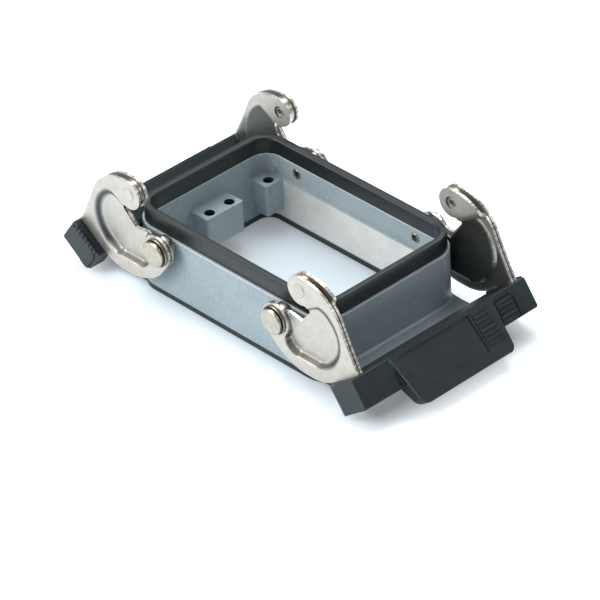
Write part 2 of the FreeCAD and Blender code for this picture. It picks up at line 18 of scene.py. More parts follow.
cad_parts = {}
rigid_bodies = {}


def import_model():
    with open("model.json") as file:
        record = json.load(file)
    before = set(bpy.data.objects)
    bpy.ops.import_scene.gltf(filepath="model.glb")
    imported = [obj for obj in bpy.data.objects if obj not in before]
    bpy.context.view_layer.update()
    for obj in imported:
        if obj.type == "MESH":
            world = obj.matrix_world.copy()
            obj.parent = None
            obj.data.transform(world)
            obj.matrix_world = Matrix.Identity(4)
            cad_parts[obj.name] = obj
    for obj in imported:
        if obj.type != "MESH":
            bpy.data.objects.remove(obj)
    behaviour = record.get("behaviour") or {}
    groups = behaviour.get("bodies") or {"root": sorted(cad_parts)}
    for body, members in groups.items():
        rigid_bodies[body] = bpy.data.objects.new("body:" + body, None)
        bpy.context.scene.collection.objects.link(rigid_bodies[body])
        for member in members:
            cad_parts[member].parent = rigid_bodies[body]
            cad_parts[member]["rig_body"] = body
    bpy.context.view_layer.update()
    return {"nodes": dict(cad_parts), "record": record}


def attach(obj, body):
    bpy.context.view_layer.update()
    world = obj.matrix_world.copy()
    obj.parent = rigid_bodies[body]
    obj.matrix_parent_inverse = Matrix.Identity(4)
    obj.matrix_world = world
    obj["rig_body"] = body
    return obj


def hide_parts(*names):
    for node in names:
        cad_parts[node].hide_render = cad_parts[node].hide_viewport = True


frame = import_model()
MM = 0.001

# %% [markdown]
# The camera
#
# The photograph was taken from the front right, about 35 degrees above the panel, with a long
# lens. A camera is a place, three directions and a focal length. The three directions make the
# columns of its rotation: right, up, and the way from the scene back to the lens.

# %% Camera
image_right = Vector((0.69013276, 0.7223751, -0.04348537))
image_up = Vector((-0.38773135, 0.41982472, 0.8206166))
towards_lens = image_right.cross(image_up)
camera_data = bpy.data.cameras.new("photo_camera")
camera_data.sensor_width = 36.0
camera_data.lens = 274.255
camera_data.clip_end = 20.0
camera = bpy.data.objects.new("photo_camera", camera_data)
turn = Matrix((image_right, image_up, towards_lens)).transposed().to_4x4()
camera.matrix_world = Matrix.Translation(Vector((0.823314, -0.739842, 0.765071))) @ turn
bpy.context.scene.collection.objects.link(camera)
bpy.context.scene.camera = camera
print("Camera distance in m:", round(camera.matrix_world.translation.length, 3))

# %% [markdown]
# Colours and nodes
#
# A hex colour is written for the screen, and shaders work in linear light, so one function turns
# one into the other. A second one adds a node: a value that is itself a socket becomes a link,
# and any other value is typed into the input. The rest do arithmetic on values that differ from
# point to point of a surface.


# %% Colour and node helpers
def linear(hex_colour):
    """Linear RGBA of an sRGB hex colour: the usual curve with its straight foot below 0.04045."""
    channels = np.array([int(hex_colour[i:i + 2], 16) for i in (1, 3, 5)]) / 255
    curve = np.where(channels <= 0.04045, channels / 12.92, ((channels + 0.055) / 1.055) ** 2.4)
    return (*curve.tolist(), 1.0)


def add(tree, kind, inputs=None, **settings):
    """Adds one node with its settings, and fills or links its inputs."""
    made = tree.nodes.new("ShaderNode" + kind)
    for name, value in settings.items():
        setattr(made, name, value)
    for name, value in (inputs or {}).items():
        if isinstance(value, bpy.types.NodeSocket):
            tree.links.new(value, made.inputs[name])
        else:
            made.inputs[name].default_value = value
    return made


def new_finish(name, **values):
    """Material with a Principled shader, and the Object coordinates that its patterns use."""
    material = bpy.data.materials.new(name)
    material.use_nodes = True
    tree = material.node_tree
    shader = tree.nodes["Principled BSDF"]
    for socket, value in values.items():
        shader.inputs[socket.replace("_", " ")].default_value = value
    place = add(tree, "TexCoord").outputs["Object"]
    print("Finish:", name)
    return material, tree, shader, place


def per_metre(size_mm):
    """Scale of a texture whose features are that many millimetres across."""
    return 1 / (size_mm * MM)


def maths(tree, operation, *values, clamp=False):
    """One step of arithmetic on numbers or sockets."""
    return add(tree, "Math", dict(enumerate(values)), operation=operation, use_clamp=clamp).outputs[0]


def spread(tree, value, low, high, start=0.0, end=1.0):
    """Goes evenly from low to high as a value goes from start to end."""
    return add(tree, "MapRange", {"Value": value, "From Min": start, "From Max": end,
                                  "To Min": low, "To Max": high}).outputs["Result"]


def band(tree, value, middle_mm, half_mm):
    """1 where a length equals the middle, falling evenly to 0 at half a width to either side."""
    away = maths(tree, "ABSOLUTE", maths(tree, "SUBTRACT", value, middle_mm * MM))
    return spread(tree, away, 1.0, 0.0, end=half_mm * MM)


# %% [markdown]
# Patterns, tones and relief
#
# Most finishes are made of the same few steps. A noise is a soft random pattern. Its values choose
# between two tones, spread the roughness, and raise small bumps, which only tilt the shading.


# %% Finish helpers
def noise(tree, place, size_mm, detail=2.0, roughness=0.5):
    """Noise with features of that size. Detail adds finer layers, and roughness is their weight."""
    return add(tree, "TexNoise", {"Vector": place, "Scale": per_metre(size_mm), "Detail": detail,
                                  "Roughness": roughness}).outputs["Fac"]


def two_tones(tree, factor, low, high, start=0.3, end=0.7):
    """Colour that goes from one tone to the other as a pattern rises from start to end."""
    ramp = add(tree, "ValToRGB", {"Fac": factor})
    ramp.color_ramp.elements[0].position = start
    ramp.color_ramp.elements[1].position = end
    ramp.color_ramp.elements[0].color = linear(low)
    ramp.color_ramp.elements[1].color = linear(high)
    return ramp.outputs["Color"]


def blend(tree, factor, colour, other):
    """The first colour where the factor is 0, and the other where it is 1."""
    return add(tree, "Mix", {0: factor, 6: colour, 7: other}, data_type="RGBA").outputs[2]


def relief(tree, *layers):
    """Bumps one on another. A layer is a pattern, its strength and its height in millimetres."""
    below = {}
    for pattern, strength, height_mm in layers:
        bump = add(tree, "Bump", {"Height": pattern, "Strength": strength,
                                  "Distance": height_mm * MM, **below})
        below = {"Normal": bump.outputs["Normal"]}
    return below["Normal"]


def link(tree, shader, **sockets):
    """Links each value to the shader input of its name."""
    for name, value in sockets.items():
        tree.links.new(value, shader.inputs[name.replace("_", " ")])


# %% [markdown]
# Powder coated die-cast aluminium
#
# The housing is cast, then sprayed with dry paint powder that is baked. Baked powder never lies
# quite flat: it keeps a fine orange peel of about half a millimetre, with a finer grit on it.
# The eye reads that as a soft, broken highlight. Two pale lines are painted highlights: one along
# the rim, just below the gasket, and one in the hollow at the foot of the end walls. Both are bands
# of height, and the second fades out where the long walls begin.

# %% Housing finish
powder_coat, tree, shader, place = new_finish("powder_coated_aluminium", Roughness=0.42, IOR=1.5)
peel = noise(tree, place, 0.9, 3.0, 0.6)
clouds = noise(tree, place, 14)
grit = noise(tree, place, 0.35)
mottle = add(tree, "Mix", {0: 0.7, 2: clouds, 3: peel}).outputs[0]
coat_tone = two_tones(tree, mottle, "#96a4a9", "#acb8bb", 0.35, 0.65)
sides = add(tree, "SeparateXYZ", {"Vector": place}).outputs
# Painted highlights: a pale line along the rim and one at the foot of the end walls.
rim_highlight = maths(tree, "MULTIPLY", band(tree, sides["Z"], 22.1, 0.3), 0.85)
at_end = spread(tree, maths(tree, "ABSOLUTE", sides["X"]), 0.0, 0.6, 38 * MM, 41.5 * MM)
foot_highlight = maths(tree, "MULTIPLY", band(tree, sides["Z"], 5.1, 0.5), at_end)
coat_tone = blend(tree, maths(tree, "MAXIMUM", rim_highlight, foot_highlight), coat_tone, linear("#eef3f3"))
link(tree, shader, Base_Color=coat_tone, Roughness=spread(tree, grit, 0.36, 0.52),
     Normal=relief(tree, (peel, 0.6, 0.09), (grit, 0.25, 0.03)))

# %% [markdown]
# Bare die-cast aluminium
#
# Below the seat of the inserts the long walls of the opening are masked when the housing is
# sprayed, and the casting shows. Cast aluminium is a soft, pale metal without grain: its skin is
# finely pitted and speckled, and it takes its brightness from the white floor opposite.

# %% Bare casting finish
bare_casting, tree, shader, place = new_finish("bare_die_cast_aluminium", Metallic=0.6)
pits = noise(tree, place, 0.6, 4.0, 0.7)
flow = noise(tree, place, 7, 3.0)
speckle = add(tree, "Mix", {0: 0.6, 2: flow, 3: pits}).outputs[0]
link(tree, shader, Base_Color=two_tones(tree, speckle, "#e6e2dc", "#faf7f1", 0.35, 0.65),
     Roughness=spread(tree, pits, 0.42, 0.62), Normal=relief(tree, (pits, 0.5, 0.06)))

# %% [markdown]
# Nitrile rubber
#
# The gaskets are moulded black rubber. Rubber scatters a little light at its surface, which gives
# it broad, dim highlights, and talc from packing leaves it slightly uneven in tone.

# %% Rubber finish
nitrile_rubber, tree, shader, place = new_finish("nitrile_rubber", Roughness=0.42, IOR=1.52)
talc = noise(tree, place, 5, 4.0, 0.65)
skin = noise(tree, place, 0.4)
link(tree, shader, Base_Color=two_tones(tree, talc, "#0a1113", "#141d1f"),
     Normal=relief(tree, (skin, 0.3, 0.03)))

# %% [markdown]
# Nickel plated pressed steel
#
# The arms are stamped from steel strip, pressed to shape and plated in a barrel. The plating
# follows the rolled surface below it: faint parallel grain, tiny dents from tumbling, and a
# slightly yellow grey. The press walls are painted darker as shade, and parts of the inner sheets
# as shade and a painted reflection of the dark handles. Each sheet carries that painted shade as
# a point attribute.

# %% Arm finish
pressed_nickel, tree, shader, place = new_finish("nickel_plated_pressed_steel", Metallic=0.8)
along_strip = add(tree, "Mapping", {"Vector": place, "Scale": (0.12, 1.0, 1.0)}).outputs["Vector"]
grain = noise(tree, along_strip, 0.5, 3.0, 0.6)
tumble = noise(tree, place, 2.2, 3.0)
# Painted shade: a dark tone where the sheet's point attribute is high.
painted_shade = add(tree, "Attribute", attribute_name="painted_shade").outputs["Fac"]
flat_tone = two_tones(tree, tumble, "#b9b3a9", "#c6c0b6")
painted_shade_tone = two_tones(tree, grain, "#2e3335", "#474c4d")
link(tree, shader, Base_Color=blend(tree, painted_shade, flat_tone, painted_shade_tone),
     Roughness=spread(tree, grain, 0.3, 0.48), Normal=relief(tree, (grain, 0.2, 0.02), (tumble, 0.15, 0.1)))

# %% [markdown]
# Sheared edges of the arms
#
# A punch leaves two bands on the edge of a sheet: it burnishes the first half of the thickness, and
# the rest breaks off rough. Where the two sheets of an arm meet, a dark line is painted shade in
# the gap between them. The edges on either side are pale, partly from the burnish and partly a
# painted highlight. Fine scores run across.

# %% Sheared edge finish
sheared_edge, tree, shader, place = new_finish("sheared_nickel_plated_edge", Metallic=0.8, Roughness=0.35)
sheets_meet, seam_shade_half_width = 31.1, 0.3
through_sheet = add(tree, "Mapping", {"Vector": place, "Scale": (1.0, 0.2, 1.0)}).outputs["Vector"]
scores = noise(tree, through_sheet, 0.5, 3.0)
outwards = maths(tree, "ABSOLUTE", add(tree, "SeparateXYZ", {"Vector": place}).outputs["Y"])
# Painted shade in the gap where the two sheets meet; the pale tone is partly painted highlight.
seam_shade = maths(tree, "MULTIPLY", band(tree, outwards, sheets_meet, seam_shade_half_width), 1.5, clamp=True)
bright_tone = two_tones(tree, scores, "#a9a69d", "#f0eee6", 0.4, 0.6)
link(tree, shader, Base_Color=blend(tree, seam_shade, bright_tone, linear("#26241f")),
     Normal=relief(tree, (scores, 0.3, 0.04)))

# %% [markdown]
# Nickel plated turned steel
#
# Studs, washers and rollers come off a lathe. The tool leaves fine rings round each axis. The
# rings are laid on the piece's own UV map, whose V runs along the turned profile, so that they
# stay round whichever way the piece stands. Real rings are about 0.05 mm apart, too fine to show
# here, so they are shown at 0.25 mm. Painted shade darkens the gaps between pieces and the
# hollows, from a point attribute, as on the arms.

# %% Turned steel finish
turned_nickel, tree, shader, place = new_finish("nickel_plated_turned_steel", Metallic=1.0)
along = add(tree, "SeparateXYZ", {"Vector": add(tree, "UVMap").outputs["UV"]}).outputs["Y"]
rings = noise(tree, add(tree, "CombineXYZ", {"X": along}).outputs["Vector"], 0.25)
handling = noise(tree, place, 1.5, 3.0)
# Painted shade in the gaps between pieces and in hollows.
groove_shade = add(tree, "Attribute", attribute_name="painted_shade").outputs["Fac"]
turned_tone = two_tones(tree, handling, "#a8a293", "#bab3a4")
link(tree, shader, Base_Color=blend(tree, groove_shade, turned_tone, linear("#25241f")),
     Roughness=spread(tree, rings, 0.22, 0.4), Normal=relief(tree, (rings, 0.25, 0.02)))

# %% [markdown]
# Black glass filled polyamide
#
# The handles are injection moulded from nylon with glass fibre in it. The mould is spark eroded,
# which gives a fine even grain that kills the gloss, and the fibres show as a faint grey haze.
# The edges get a finish of their own: glossier, and painted paler as a highlight.

# %% Handle finish
glass_nylon, tree, shader, place = new_finish("glass_filled_polyamide", IOR=1.53, Specular_IOR_Level=0.38)
spark = add(tree, "TexVoronoi", {"Vector": place, "Scale": per_metre(0.35)}, feature="SMOOTH_F1")
spark = spark.outputs["Distance"]
haze = noise(tree, place, 9, 4.0, 0.6)
link(tree, shader, Base_Color=two_tones(tree, haze, "#192225", "#252f32"),
     Roughness=spread(tree, spark, 0.42, 0.6), Normal=relief(tree, (spark, 0.3, 0.03)))
# Painted highlight on the rounded edges of the handles.
nylon_edge_highlight, tree, shader, place = new_finish("polyamide_edge_painted_highlight", IOR=1.53)
edge_variation = noise(tree, place, 2.5, 3.0)
link(tree, shader, Base_Color=two_tones(tree, edge_variation, "#323d40", "#57656a"),
     Roughness=spread(tree, edge_variation, 0.26, 0.42))

# %% [markdown]
# Which finish goes where
#
# The record gives every CAD node a material slot, and each slot has one finish. A skin takes the
# slot of the node it stands for, so that the two can't drift apart.

# %% Finishes by slot
finish_of_slot = {
    "coated_housing": powder_coat,
    "plated_arm": pressed_nickel,
    "plated_steel": turned_nickel,
    "rubber": nitrile_rubber,
    "moulded_handle": glass_nylon,
}
slot_of_node = {s["node"]: s["material_slot"] for s in frame["record"]["subparts"]}
print("Nodes with a slot:", len(slot_of_node))

# %% [markdown]
# From arrays to a piece
#
# Every new surface is a grid of points computed in one go. Neighbouring points of the grid make
# the faces, and a grid may close on itself in one or both directions. Pieces on the left or at
# the front are the same arrays with x or y turned round, and then the faces are wound the other
# way so that they still point outwards.


# %% Grid to mesh
def grid_faces(rows, columns, wrap_rows, wrap_columns):
    """Four corners of each cell of a grid, as indices into its points taken row by row."""
    row = np.arange(rows if wrap_rows else rows - 1)
    column = np.arange(columns if wrap_columns else columns - 1)
    r, c = np.meshgrid(row, column, indexing="ij")
    r2 = (r + 1) % rows
    c2 = (c + 1) % columns
    corners = [r * columns + c, r2 * columns + c, r2 * columns + c2, r * columns + c2]
    return np.stack(corners, axis=-1).reshape(-1, 4)


def make_piece(node, points, faces, sx=1, sy=1, uv=None, weld=0.0, painted_shade=None):
    """Mesh piece that stands for one CAD node, on its body and in its finish."""
    points = np.asarray(points, float).reshape(-1, 3) * (sx, sy, 1) * MM
    faces = np.asarray(faces)
    if sx * sy < 0:
        faces = faces[:, ::-1]
    mesh = bpy.data.meshes.new(node + "_skin")
    mesh.from_pydata(points.tolist(), [], faces.tolist())
    if uv is not None:
        loops = np.empty(len(mesh.loops), int)
        mesh.loops.foreach_get("vertex_index", loops)
        mesh.uv_layers.new().data.foreach_set("uv", np.asarray(uv, float).reshape(-1, 2)[loops].ravel())
    if painted_shade is not None:
        mesh.attributes.new("painted_shade", "FLOAT", "POINT").data.foreach_set("value", painted_shade)
    if weld:
        shape = bmesh.new()
        shape.from_mesh(mesh)
        bmesh.ops.remove_doubles(shape, verts=shape.verts, dist=weld * MM)
        bmesh.ops.recalc_face_normals(shape, faces=shape.faces)
        shape.to_mesh(mesh)
        shape.free()
    mesh.polygons.foreach_set("use_smooth", np.ones(len(mesh.polygons), bool))
    mesh.set_sharp_from_angle(angle=math.radians(40))
    return dress(bpy.data.objects.new(node + "_skin", mesh), node)


def dress(piece, node):
    """Puts a piece in the place of its CAD node: same body, same slot, same finish."""
    bpy.context.scene.collection.objects.link(piece)
    slot = slot_of_node[node]
    piece.data.materials.clear()
    piece.data.materials.append(finish_of_slot[slot])
    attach(piece, frame["nodes"][node]["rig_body"])
    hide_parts(node)
    return piece


corners = {"right_rear": (1, 1), "right_front": (1, -1), "left_front": (-1, -1), "left_rear": (-1, 1)}

# %% [markdown]
# Turned pieces
#
# A lathe part is a profile swung round an axis. The profile is a list of (radius, distance along
# the axis), and the grid's second direction is the angle. Two close points where the profile
# turns a corner give the small edge break that catches the light.

# %% Lathe
pivot_x, pivot_z = 25.0, 19.0


def eased(profile, amount, steps=4):
    """The profile with each corner replaced by a short arc: a quadratic curve between two points
    that lie `amount` before and after the corner."""
    profile = np.asarray(profile, float)
    before = profile[:-2] - profile[1:-1]
    after = profile[2:] - profile[1:-1]
    back = np.linalg.norm(before, axis=1, keepdims=True)
    on = np.linalg.norm(after, axis=1, keepdims=True)
    start = profile[1:-1] + before / back * np.minimum(amount, back * 0.45)
    end = profile[1:-1] + after / on * np.minimum(amount, on * 0.45)
    t = np.linspace(0, 1, steps)[None, :, None]
    curve = (1 - t) ** 2 * start[:, None] + 2 * t * (1 - t) * profile[1:-1, None] + t ** 2 * end[:, None]
    return np.concatenate([profile[:1], curve.reshape(-1, 2), profile[-1:]])


def lathe(node, profile, u, w, sx, sy, ease=0.12, shade_lines=(), segments=72):
    """Surface of revolution about a line along Y through (u, w): at angle a, each profile point
    (r, y) lies at u + r cos a, y, w + r sin a. U goes round and V runs along the profile. Each
    shade line is the y of a line of painted shade and the distance over which its darkness fades."""
    profile = eased(profile, ease)
    angle = np.linspace(0, 2 * math.pi, segments, endpoint=False)
    radius = profile[:, 0][:, None]
    points = np.stack([
        u + radius * np.cos(angle),
        np.broadcast_to(profile[:, 1][:, None], (len(profile), segments)),
        w + radius * np.sin(angle),
    ], axis=-1)
    walked = np.concatenate([[0], np.cumsum(np.linalg.norm(np.diff(profile, axis=0), axis=1))]) * MM
    uv = np.stack(np.broadcast_arrays(angle[None, :], walked[:, None]), axis=-1)
    near = np.zeros(len(profile))
    for middle, fade in shade_lines:
        near = np.maximum(near, 1 - np.abs(profile[:, 1] - middle) / fade)
    painted_shade = np.repeat(np.clip(near, 0, 1), segments)
    faces = grid_faces(len(profile), segments, False, True)
    return make_piece(node, points, faces, sx, sy, uv, weld=0.001, painted_shade=painted_shade)


# %% [markdown]
# Pivot studs, washers and spacers
#
# Each lever turns on two plain studs, one in each long wall. From outside one sees the head, which
# is slightly crowned round a small flat, and a thin washer below it. Inside the wall is the tail:
# it was hollow, and riveting has flared it. All distances run outwards from the middle plane.

# %% Pivot hardware
wall_outer, wall_inner = 27.6, 24.4
shank_radius, tail_radius, bore_radius = 2.5, 1.3, 2.55
head_radius, flat_radius = 4.1, 2.0
under_head = 32.9
head_top = under_head + 1.3
flare_radius, flare_end = 1.7, wall_inner - 0.35
hollow_radius, hollow_end = 1.15, flare_end + 0.9
stud_profile = [
    (0, hollow_end), (hollow_radius - 0.2, hollow_end - 0.15), (hollow_radius, flare_end),
    (flare_radius - 0.2, flare_end), (flare_radius, flare_end + 0.2), (flare_radius, wall_inner),
    (tail_radius, wall_inner), (tail_radius, wall_outer), (shank_radius, wall_outer),
    (shank_radius, under_head), (head_radius - 0.45, under_head), (head_radius, under_head + 0.3),
    (head_radius, head_top - 0.35), (head_radius - 0.35, head_top - 0.1), (flat_radius, head_top),
    (0, head_top),
]
washer_radius, washer_low, washer_high = 4.6, 32.15, 32.85
washer_profile = [
    (bore_radius, washer_low), (washer_radius - 0.4, washer_low), (washer_radius, washer_low + 0.25),
    (washer_radius, washer_high - 0.25), (washer_radius - 0.3, washer_high), (bore_radius, washer_high),
    (bore_radius, washer_low),
]
spacer_radius, spacer_end = 3.8, 30.05
spacer_profile = [
    (bore_radius, wall_outer), (spacer_radius, wall_outer), (spacer_radius, spacer_end),
    (bore_radius, spacer_end), (bore_radius, wall_outer),
]
# Painted shade under the head, in the tail's hollow, and on both faces of the washer.
stud_shade_lines = [(under_head, 0.3), (wall_inner + 0.5, 1.0)]
washer_shade_lines = [(washer_low, 0.3), (washer_high, 0.3)]
for corner, (sx, sy) in corners.items():
    lathe(corner + "_pivot_stud", stud_profile, pivot_x, pivot_z, sx, sy, shade_lines=stud_shade_lines)
    lathe(corner + "_pivot_washer", washer_profile, pivot_x, pivot_z, sx, sy, shade_lines=washer_shade_lines)
    lathe(corner + "_pivot_spacer", spacer_profile, pivot_x, pivot_z, sx, sy)
print("Pivot pieces:", 3 * len(corners))

# %% [markdown]
# Nose rollers and rivets
#
# The nose of each arm carries a steel roller between its two sheets. It runs on a rivet whose
# head is spun flat and broad, with a shallow hollow left by the riveting tool.

# %% Rollers
nose_u, nose_w, nose_radius = 11.0, 15.1, 4.7
roller_radius, roller_bore, roller_low, roller_high = 4.3, 1.55, 29.55, 31.05
arm_face = 32.1
rivet_radius, rivet_head, rivet_end = 1.5, 2.25, 28.95
roller_profile = [
    (roller_bore, roller_low), (roller_radius, roller_low), (roller_radius, roller_high),
    (roller_bore, roller_high), (roller_bore, roller_low),
]
rivet_profile = [
    (0, rivet_end), (0.9, rivet_end - 0.05), (1.15, rivet_end - 0.25), (rivet_radius, rivet_end - 0.2),
    (rivet_radius, arm_face), (rivet_head, arm_face), (rivet_head - 0.25, arm_face + 0.22),
    (1.35, arm_face + 0.25), (1.0, arm_face + 0.12), (0, arm_face + 0.1),
]
for corner, (sx, sy) in corners.items():
    place = (pivot_x + nose_u, pivot_z + nose_w, sx, sy)
    lathe(corner + "_nose_roller", roller_profile, *place, ease=0.3)
    # Painted shade at the rivet's inner end.
    lathe(corner + "_roller_rivet", rivet_profile, *place, ease=0.3, shade_lines=[(rivet_end, 0.3)])
print("Nose pieces:", 2 * len(corners))

# %% [markdown]
# Pressed arms
#
# An arm is two sheets of 1 mm steel. Each starts as a flat blank, and a press pushes its middle
# panel towards the housing. A blank is an outline of arcs and lines, such as a toolmaker would cut.
# Its points are (u, w): millimetres towards the handle and upwards, both from the pivot.


# %% Outline helpers
def polar(radius, degrees, u=0.0, w=0.0):
    """Point on a circle round (u, w), at an angle from the u direction."""
    angle = math.radians(degrees)
    return (u + radius * math.cos(angle), w + radius * math.sin(angle))


def handle_point(across, down):
    """Point in the tilted frame of the handle, measured from its centre."""
    tilt = math.radians(36.0)
    return (32.88 + across * math.cos(tilt) + down * math.sin(tilt),
            -9.86 + across * math.sin(tilt) - down * math.cos(tilt))


def arc(a, b, c, step=0.35):
    """Points on the circle through a, b and c, from a to c: its centre is where the two
    perpendicular bisectors meet, and the angle goes evenly from a's to c's by way of b's."""
    a, b, c = (np.asarray(p, float) for p in (a, b, c))
    lines = 2 * np.array([b - a, c - a])
    centre = np.linalg.solve(lines, [b @ b - a @ a, c @ c - a @ a])
    radius = np.linalg.norm(a - centre)
    first, middle, last = (math.atan2(*(p - centre)[::-1]) for p in (a, b, c))
    sweep = (last - first) % (2 * math.pi)
    if (middle - first) % (2 * math.pi) > sweep:
        sweep -= 2 * math.pi
    count = max(2, int(abs(sweep) * radius / step))
    angle = first + sweep * np.linspace(0, 1, count, endpoint=False)
    return centre + radius * np.stack([np.cos(angle), np.sin(angle)], axis=1)


def run(a, c, step=0.35):
    """Evenly spaced points on the straight line from a to c."""
    a, c = np.asarray(a, float), np.asarray(c, float)
    count = max(1, int(np.linalg.norm(c - a) / step))
    return a + (c - a) * np.linspace(0, 1, count, endpoint=False)[:, None]


def outline(pieces):
    """One closed edge of lines, given by two points, and arcs, given by three."""
    return np.concatenate([run(*p) if len(p) == 2 else arc(*p) for p in pieces])


# %% [markdown]
# The outlines of arm and panel
#
# The arm runs from the lobe round the pivot along its belly to the handle, whose tang it fills,
# and back over the shoulder to the nose. The panel is a D between them. The mouth between nose and
# lobe catches the peg of the hood, and it is a little wider on the inner sheet.

# %% Arm outlines
lobe_radius = 5.2
nose_top, nose_end = polar(nose_radius, 75, nose_u, nose_w), polar(nose_radius, 290, nose_u, nose_w)
throat, catch = (13.4, 7.9), (10.1, 3.7)
lobe_top, lobe_end = polar(lobe_radius, 85), polar(lobe_radius, 216)
belly_start, belly_low = (-1.0, -7.4), (13.5, -13.1)
heel, shoulder, back = handle_point(-8.4, -4.9), handle_point(4.6, -4.9), (26.5, 11.5)
tang = [handle_point(-3.3, -4.9), handle_point(-3.3, 2.1), handle_point(3.3, 2.1), handle_point(3.3, -4.9)]
shared_low = [
    (lobe_end, belly_start), (belly_start, (5.4, -11.6), belly_low), (belly_low, (19.3, -12.5), heel),
    (heel, tang[0]), (tang[0], tang[1]), (tang[1], tang[2]), (tang[2], tang[3]), (tang[3], shoulder),
    (shoulder, (29.4, 5.1), back), (back, (20.9, 17.4), nose_top),
    (nose_top, polar(nose_radius, 180, nose_u, nose_w), nose_end),
]
outer_edge = outline(shared_low + [
    (nose_end, (14.3, 9.7), throat), (throat, catch), (catch, lobe_top),
    (lobe_top, polar(lobe_radius, 150), lobe_end),
])
inner_throat, inner_catch, inner_top, inner_lobe = (13.4, 6.5), (10.1, 2.3), (0.45, 3.78), (-0.82, 5.13)
inner_edge = outline(shared_low + [
    (nose_end, (14.2, 9.8), (14.2, 8.4)), ((14.2, 8.4), inner_throat), (inner_throat, inner_catch),
    (inner_catch, inner_top), (inner_top, inner_lobe), (inner_lobe, polar(lobe_radius, 150), lobe_end),
])
panel_radius = 5.6
panel_top, panel_low = polar(panel_radius, 62), polar(panel_radius, -48)
panel_edge = outline([
    (panel_top, polar(panel_radius, 5), panel_low), (panel_low, (5.2, -7.2), (8.6, -8.6)),
    ((8.6, -8.6), (17.4, -8.6)), ((17.4, -8.6), (21.7, -7.5), (24.4, -4.9)),
    ((24.4, -4.9), (27.1, 4.5), (21.4, 13.0)), ((21.4, 13.0), (18.8, 13.4)), ((18.8, 13.4), (13.6, 10.0)),
    ((13.6, 10.0), (12.4, 9.4)), ((12.4, 9.4), (8.6, 7.4)), ((8.6, 7.4), panel_top),
])
print("Points on the arm's edge:", len(outer_edge), "and on its panel's:", len(panel_edge))


# %% [markdown]
# Filling a blank
#
# A lattice of points fills each outline. Two things are needed for it: how far a point lies inside
# an edge, and a triangulation that keeps the edge and the holes.


# %% Filling a blank
def inside_by(points, edge):
    """How far each point lies inside a closed edge, and negative outside it: the distance to the
    nearest segment, signed by how often a ray to the right crosses the edge."""
    start, end = edge[None], np.roll(edge, -1, axis=0)[None]
    p = points[:, None]
    along = end - start
    t = np.clip(((p - start) * along).sum(2) / (along ** 2).sum(2), 0, 1)
    distance = np.linalg.norm(p - start - t[..., None] * along, axis=2).min(axis=1)
    spans = (start[..., 1] > p[..., 1]) != (end[..., 1] > p[..., 1])
    rise = np.where(along[..., 1] == 0, 1e-12, along[..., 1])
    crossing = start[..., 0] + (p[..., 1] - start[..., 1]) / rise * along[..., 0]
    odd = (spans & (p[..., 0] < crossing)).sum(axis=1) % 2
    return np.where(odd == 1, distance, -distance)


def circle(radius, u, w, count=48):
    """Evenly spaced points on a circle round (u, w)."""
    angle = np.linspace(0, 2 * math.pi, count, endpoint=False)
    return np.stack([u + radius * np.cos(angle), w + radius * np.sin(angle)], axis=1)


pitch = 0.45


def clear_of_holes(points, holes, margin):
    """Whether each point is farther than its radius and a margin from the middle of every hole."""
    return np.all([np.hypot(*(points - (u, w)).T) > radius + margin for radius, u, w in holes], axis=0)


def fill(edge, holes):
    """Points and triangles of a flat blank: a lattice of staggered rows inside the edge, joined
    with the points of the edge and of the holes by a Delaunay triangulation."""
    low, high = edge.min(axis=0), edge.max(axis=0)
    across, up = np.arange(low[0], high[0], pitch), np.arange(low[1], high[1], pitch)
    lattice = np.stack(np.meshgrid(across, up), axis=-1)
    lattice[1::2, :, 0] += pitch / 2
    lattice = lattice.reshape(-1, 2)
    margin = pitch * 0.55
    lattice = lattice[(inside_by(lattice, edge) > margin) & clear_of_holes(lattice, holes, margin)]
    loops = [edge] + [circle(*hole) for hole in holes]
    starts = np.cumsum([0] + [len(loop) for loop in loops])
    rims = [np.stack([np.arange(len(loop)), np.roll(np.arange(len(loop)), -1)], axis=1) + first
            for loop, first in zip(loops, starts)]
    points = np.concatenate(loops + [lattice])
    filled = delaunay_2d_cdt([Vector(p) for p in points.tolist()], np.concatenate(rims).tolist(), [], 1, 1e-7)
    points = np.array([tuple(p) for p in filled[0]])
    triangles = np.array(filled[2])
    return points, triangles[clear_of_holes(points[triangles].mean(axis=1), holes, 0)]


pivot_hole = (2.6, 0.0, 0.0)
outer_blank = fill(outer_edge, [pivot_hole, (1.56, nose_u, nose_w)])
inner_blank = fill(inner_edge, [pivot_hole, (2.05, nose_u, nose_w)])
print("Outer blank:", len(outer_blank[0]), "points,", len(outer_blank[1]), "triangles")

# %% [markdown]
# The press
#
# How far a point moves depends only on how far inside the panel's outline it lies, so the walls of
# the pressing come out smooth. The inner sheet also steps inwards at its neck, and the roller turns
# in the gap.


# %% Press functions
def smooth_step(value, start, end):
    """0 before start, 1 after end, and between them 3t squared minus 2t cubed."""
    t = np.clip((value - start) / (end - start), 0, 1)
    return t * t * (3 - 2 * t)


def rounded_inside(points, edge, radius, samples=8):
    """The mean of inside_by over a small circle round each point: it rounds the outline's corners."""
    return np.mean([inside_by(points + offset, edge) for offset in circle(radius, 0, 0, samples)], axis=0)


neck_edge = outline([
    ((10.3, 7.94), (30.0, 20.6)), ((30.0, 20.6), (30.0, 26.0)), ((30.0, 26.0), (4.0, 26.0)),
    ((4.0, 26.0), (4.0, 8.5)), ((4.0, 8.5), (10.3, 7.94)),
])
near_width = 0.85


def panel_share(points, far_width):
    """0 outside the panel's edge and 1 inside it. The smooth wall between them is near_width wide
    at the pivot, and far_width on the side of the handle."""
    start = -0.15
    far_side = smooth_step(points[:, 0], 16.0, 22.0)
    end = start + near_width + (far_width - near_width) * far_side
    return smooth_step(rounded_inside(points, panel_edge, 0.8), start, end)


